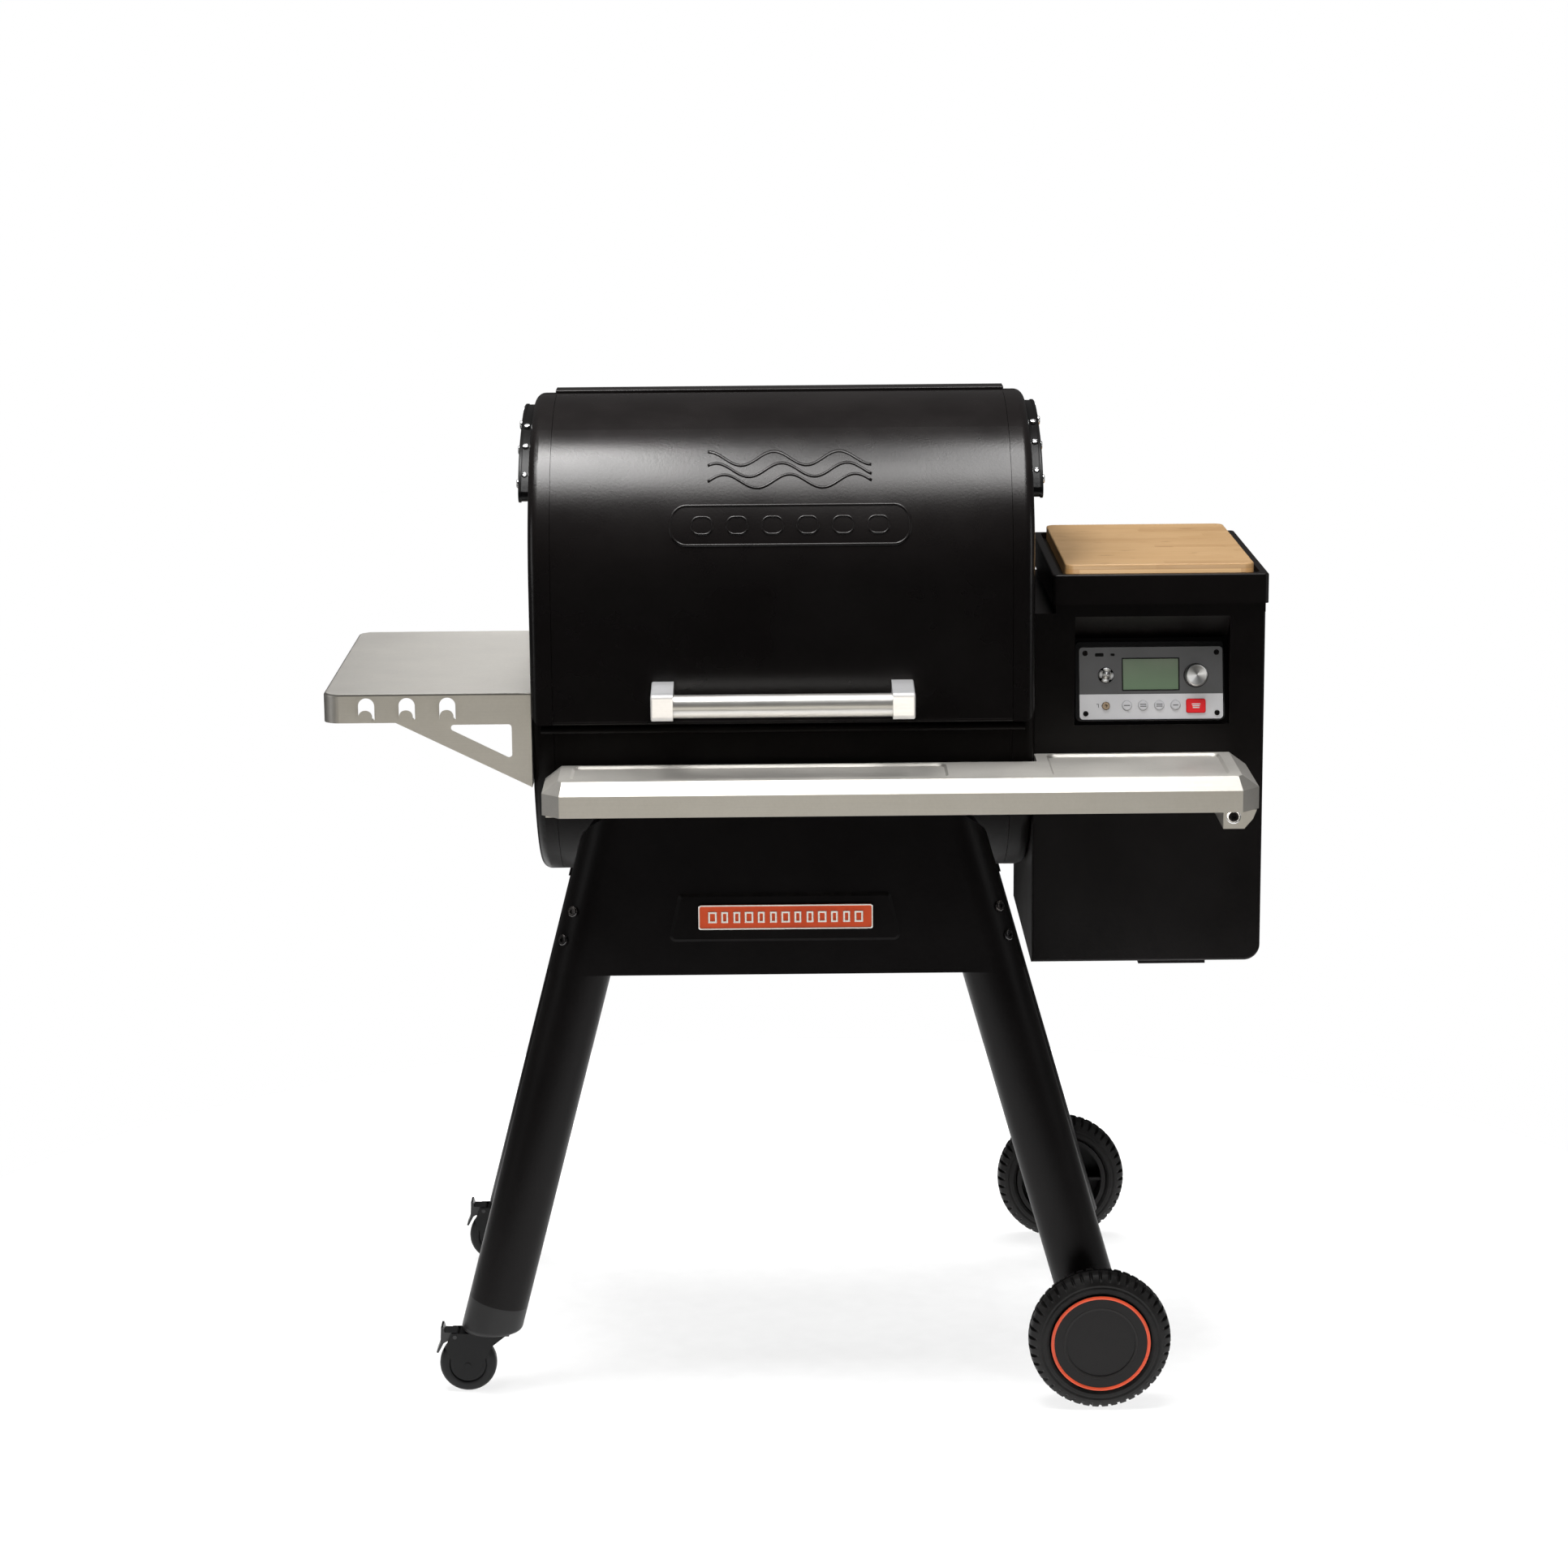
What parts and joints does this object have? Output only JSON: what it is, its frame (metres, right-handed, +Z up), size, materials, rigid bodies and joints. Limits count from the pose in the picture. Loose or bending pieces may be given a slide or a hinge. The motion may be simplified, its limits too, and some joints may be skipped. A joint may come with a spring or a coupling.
{
  "type": "pellet smoker grill",
  "caption": "Barrel pellet grill on splayed legs with hinged lid, pellet hopper with control panel, folding-edge steel shelves, big wheels and braked swivel casters.",
  "frame": {"origin": "on the floor under the middle of the whole machine's box", "axes": "+Z up; -Y is the front, where the lid handle and control panel are; +X towards the hopper"},
  "size_m": [1.1652, 0.6978, 1.238],
  "materials": {
    "stand_black": "satin fine texture powder coat",
    "barrel_black": "satin fine texture powder coat",
    "hopper_black": "satin fine texture powder coat",
    "hinge_black": "satin powder coat",
    "screw_black": "gloss black oxide",
    "bright_screw": "bright zinc plate",
    "handle_steel": "brushed lengthways",
    "shelf_steel": "brushed lengthways",
    "badge_enamel": "gloss enamel, bright edge",
    "grate_iron": "porcelain enamel",
    "inner_steel": "mill finish",
    "igniter_steel": "drawn",
    "motor_grey": "satin",
    "auger_iron": "as cast",
    "fan_metal": "pressed",
    "bezel_plastic": "fine texture",
    "faceplate_print": "printed film, light lower band",
    "display_lcd": "unlit grey-green display",
    "jack_metal": "turned",
    "knob_chrome": "spun face",
    "key_plastic": "gloss",
    "ignite_red": "gloss",
    "board_bamboo": "oiled laminated strips",
    "tyre_rubber": "moulded tread",
    "hub_plastic": "moulded, orange ring",
    "sleeve_grey": "moulded",
    "axle_steel": "zinc plate",
    "fork_plastic": "moulded",
    "caster_tread": "smooth",
    "brake_grey": "moulded"
  },
  "bodies": {
    "frame": {"leg_front_left": "stand_black", "leg_rear_left": "stand_black", "leg_front_right": "stand_black", "leg_rear_right": "stand_black", "leg_aprons": "stand_black", "frame_screws": "screw_black", "badge_plate": "badge_enamel", "barrel_skin": "barrel_black", "barrel_ends": "barrel_black", "vent_hood": "barrel_black", "cooking_grates": "grate_iron", "drip_tray": "inner_steel", "heat_baffle": "inner_steel", "fire_pot": "inner_steel", "igniter_rod": "igniter_steel", "temperature_probe": "igniter_steel", "auger_tube": "inner_steel", "auger_motor": "motor_grey", "fan_housing": "motor_grey", "hopper_body": "hopper_black", "pellet_bin": "inner_steel", "finger_guard": "inner_steel", "control_bezel": "bezel_plastic", "faceplate": "faceplate_print", "display_glass": "display_lcd", "probe_jack": "jack_metal", "side_shelf": "shelf_steel", "front_shelf": "shelf_steel", "shelf_brackets": "shelf_steel", "hinge_pins": "bright_screw", "caster_sleeves": "sleeve_grey", "wheel_axle": "axle_steel", "power_inlet": "bezel_plastic"},
    "lid": {"lid_skin": "barrel_black", "lid_ends": "barrel_black", "hinge_arms": "hinge_black", "lid_screws": "bright_screw", "handle_bar": "handle_steel", "handle_brackets": "handle_steel"},
    "hopper_lid": {"hopper_lid": "hopper_black"},
    "cutting_board": {"cutting_board": "board_bamboo"},
    "control_knob": {"control_knob": "knob_chrome"},
    "jog_button": {"jog_button": "knob_chrome"},
    "menu_button_1": {"menu_button_1": "key_plastic"},
    "menu_button_2": {"menu_button_2": "key_plastic"},
    "menu_button_3": {"menu_button_3": "key_plastic"},
    "menu_button_4": {"menu_button_4": "key_plastic"},
    "ignite_button": {"ignite_button": "ignite_red"},
    "auger": {"auger": "auger_iron"},
    "fan_rotor": {"fan_rotor": "fan_metal"},
    "wheel_front": {"tyre_front": "tyre_rubber", "hub_front": "hub_plastic"},
    "wheel_rear": {"tyre_rear": "tyre_rubber", "hub_rear": "hub_plastic"},
    "caster_fork_front": {"caster_fork_front": "fork_plastic"},
    "caster_wheel_front": {"caster_wheel_front": "caster_tread"},
    "caster_brake_front": {"caster_brake_front": "brake_grey"},
    "caster_fork_rear": {"caster_fork_rear": "fork_plastic"},
    "caster_wheel_rear": {"caster_wheel_rear": "caster_tread"},
    "caster_brake_rear": {"caster_brake_rear": "brake_grey"}
  },
  "joints": [
    {"name": "lid_hinge", "type": "hinge", "parent": "frame", "child": "lid", "pos_m": [-0.0188, 0.04, 1.207], "axis": [-1, 0, 0], "range_deg": [0, 85]},
    {"name": "hopper_lid_hinge", "type": "hinge", "parent": "frame", "child": "hopper_lid", "pos_m": [0.4345, 0.185, 0.9835], "axis": [-1, 0, 0], "range_deg": [0, 100]},
    {"name": "board_lift", "type": "slide", "parent": "hopper_lid", "child": "cutting_board", "axis": [0, 0, 1], "range_m": [0, 0.06]},
    {"name": "knob_turn", "type": "hinge", "parent": "frame", "child": "control_knob", "pos_m": [0.4942, -0.17143, 0.89682], "axis": [0, -0.9744, 0.225], "continuous": true},
    {"name": "jog_press", "type": "slide", "parent": "frame", "child": "jog_button", "axis": [0, 0.9744, -0.225], "range_m": [0, 0.0012], "stiffness_N_per_m": 400},
    {"name": "menu_press_1", "type": "slide", "parent": "frame", "child": "menu_button_1", "axis": [0, 0.9744, -0.225], "range_m": [0, 0.0012], "stiffness_N_per_m": 400},
    {"name": "menu_press_2", "type": "slide", "parent": "frame", "child": "menu_button_2", "axis": [0, 0.9744, -0.225], "range_m": [0, 0.0012], "stiffness_N_per_m": 400},
    {"name": "menu_press_3", "type": "slide", "parent": "frame", "child": "menu_button_3", "axis": [0, 0.9744, -0.225], "range_m": [0, 0.0012], "stiffness_N_per_m": 400},
    {"name": "menu_press_4", "type": "slide", "parent": "frame", "child": "menu_button_4", "axis": [0, 0.9744, -0.225], "range_m": [0, 0.0012], "stiffness_N_per_m": 400},
    {"name": "ignite_press", "type": "slide", "parent": "frame", "child": "ignite_button", "axis": [0, 0.9744, -0.225], "range_m": [0, 0.0012], "stiffness_N_per_m": 400},
    {"name": "auger_turn", "type": "hinge", "parent": "frame", "child": "auger", "pos_m": [0.2612, 0, 0.672], "axis": [1, 0, 0], "continuous": true},
    {"name": "fan_turn", "type": "hinge", "parent": "frame", "child": "fan_rotor", "pos_m": [0.3492, -0.105, 0.69], "axis": [0, 1, 0], "continuous": true},
    {"name": "wheel_front_roll", "type": "hinge", "parent": "frame", "child": "wheel_front", "pos_m": [0.3683, -0.326, 0.0884], "axis": [0, 1, 0], "continuous": true},
    {"name": "wheel_rear_roll", "type": "hinge", "parent": "frame", "child": "wheel_rear", "pos_m": [0.3683, 0.326, 0.0884], "axis": [0, 1, 0], "continuous": true},
    {"name": "caster_front_swivel", "type": "hinge", "parent": "frame", "child": "caster_fork_front", "pos_m": [-0.4018, -0.25, 0.09], "axis": [0, 0, 1], "continuous": true},
    {"name": "caster_front_roll", "type": "hinge", "parent": "caster_fork_front", "child": "caster_wheel_front", "pos_m": [-0.4243, -0.25, 0.036], "axis": [0, 1, 0], "continuous": true},
    {"name": "caster_front_brake", "type": "hinge", "parent": "caster_fork_front", "child": "caster_brake_front", "pos_m": [-0.4398, -0.25, 0.074], "axis": [0, -1, 0], "range_deg": [0, 7]},
    {"name": "caster_rear_swivel", "type": "hinge", "parent": "frame", "child": "caster_fork_rear", "pos_m": [-0.4018, 0.25, 0.09], "axis": [0, 0, 1], "continuous": true},
    {"name": "caster_rear_roll", "type": "hinge", "parent": "caster_fork_rear", "child": "caster_wheel_rear", "pos_m": [-0.4243, 0.25, 0.036], "axis": [0, 1, 0], "continuous": true},
    {"name": "caster_rear_brake", "type": "hinge", "parent": "caster_fork_rear", "child": "caster_brake_rear", "pos_m": [-0.4398, 0.25, 0.074], "axis": [0, -1, 0], "range_deg": [0, 7]}
  ]
}
